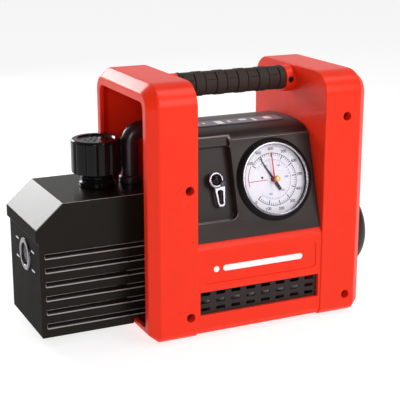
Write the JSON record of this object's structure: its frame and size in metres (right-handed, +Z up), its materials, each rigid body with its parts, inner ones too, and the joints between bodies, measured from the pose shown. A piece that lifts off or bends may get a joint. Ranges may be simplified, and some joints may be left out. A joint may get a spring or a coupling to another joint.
{
  "type": "rotary vane vacuum pump",
  "caption": "Portable rotary vane vacuum pump: red carry frame with ribbed handle, tilted panel with gauge and valve lever, finned oil tank, vented cap and fan-cooled motor.",
  "frame": {"origin": "centre of the footprint, at the underside of the rubber feet", "axes": "+X along the motor shaft towards the fan cover, +Y from the control panel towards the back, +Z up"},
  "size_m": [0.383, 0.15, 0.258],
  "materials": {
    "housing_red": "moulded, lightly textured",
    "black_plastic": "moulded, matt",
    "gloss_black": "moulded, glossy",
    "rubber": "matt",
    "cast_black": "cast, powder coated black",
    "aluminium": "cast",
    "steel": "ground",
    "chrome": "polished",
    "brass": "machined",
    "copper": "enamelled copper wire",
    "dial_white": "printed",
    "marker_red": "painted",
    "clear": "clear",
    "felt": "pressed fibre",
    "carbon": "carbon composite"
  },
  "bodies": {
    "frame": {"front_housing": "housing_red", "rear_housing": "housing_red", "vent_grille": "black_plastic", "control_cover": "black_plastic", "power_inlet": "black_plastic", "fan_cover": "black_plastic", "gauge_case": "gloss_black", "suction_elbow": "gloss_black", "exhaust_neck": "gloss_black", "rubber_foot_left": "rubber", "rubber_foot_right": "rubber", "handle_grip": "rubber", "shaft_seal": "rubber", "oil_tank": "cast_black", "motor_shell": "cast_black", "pump_flange": "aluminium", "mid_plate": "aluminium", "end_plate": "aluminium", "front_end_bell": "aluminium", "rear_end_bell": "aluminium", "run_capacitor": "aluminium", "housing_screw_1": "steel", "housing_screw_2": "steel", "housing_screw_3": "steel", "housing_screw_4": "steel", "handle_core": "steel", "stage_one_stator": "steel", "stage_two_stator": "steel", "exhaust_reed": "steel", "front_bearing": "steel", "rear_bearing": "steel", "stator_core": "steel", "base_tray": "steel", "sight_glass_bezel": "chrome", "gauge_movement": "brass", "valve_body": "brass", "inlet_port": "brass", "drain_plug": "brass", "stator_windings": "copper", "gauge_dial": "dial_white", "gauge_lens": "clear", "sight_glass_lens": "clear", "exhaust_filter": "felt"},
    "shaft": {"motor_shaft": "steel", "rotor_core": "steel", "cooling_fan": "black_plastic", "drive_coupling": "steel", "pump_rotor": "steel", "stage_one_vane_a": "carbon", "stage_one_vane_b": "carbon", "stage_two_vane_a": "carbon", "stage_two_vane_b": "carbon", "stage_one_spring": "steel", "stage_two_spring": "steel"},
    "needle": {"gauge_needle": "carbon"},
    "marker": {"marker_hand": "marker_red"},
    "lever": {"valve_lever": "chrome"},
    "exhaust_vent": {"exhaust_cap": "gloss_black"},
    "hose_cap": {"inlet_cap": "black_plastic"},
    "rocker": {"rocker_switch": "gloss_black"}
  },
  "joints": [
    {"name": "shaft_spin", "type": "hinge", "parent": "frame", "child": "shaft", "pos_m": [0.05, 0.02, 0.064], "axis": [1, 0, 0], "continuous": true},
    {"name": "gauge_needle_turn", "type": "hinge", "parent": "frame", "child": "needle", "pos_m": [0.0505, -0.0558, 0.1513], "axis": [0, -0.9573, 0.289], "range_deg": [-256, 24], "stiffness_Nm_per_rad": 0.0005},
    {"name": "marker_turn", "type": "hinge", "parent": "frame", "child": "marker", "pos_m": [0.0505, -0.0558, 0.1513], "axis": [0, -0.9573, 0.289], "range_deg": [-226, 54]},
    {"name": "valve_lever_turn", "type": "hinge", "parent": "frame", "child": "lever", "pos_m": [-0.013, -0.05407, 0.15704], "axis": [0, 0.9573, -0.289], "range_deg": [0, 90]},
    {"name": "exhaust_cap_turn", "type": "hinge", "parent": "frame", "child": "exhaust_vent", "pos_m": [-0.1113, 0.02, 0.175], "axis": [0, 0, 1], "continuous": true},
    {"name": "inlet_cap_turn", "type": "hinge", "parent": "frame", "child": "hose_cap", "pos_m": [0.0655, 0.07, 0.162], "axis": [0, 1, 0], "continuous": true},
    {"name": "switch_rock", "type": "hinge", "parent": "frame", "child": "rocker", "pos_m": [0.0195, 0.056, 0.152], "axis": [1, 0, 0], "range_deg": [-18, 0]}
  ]
}
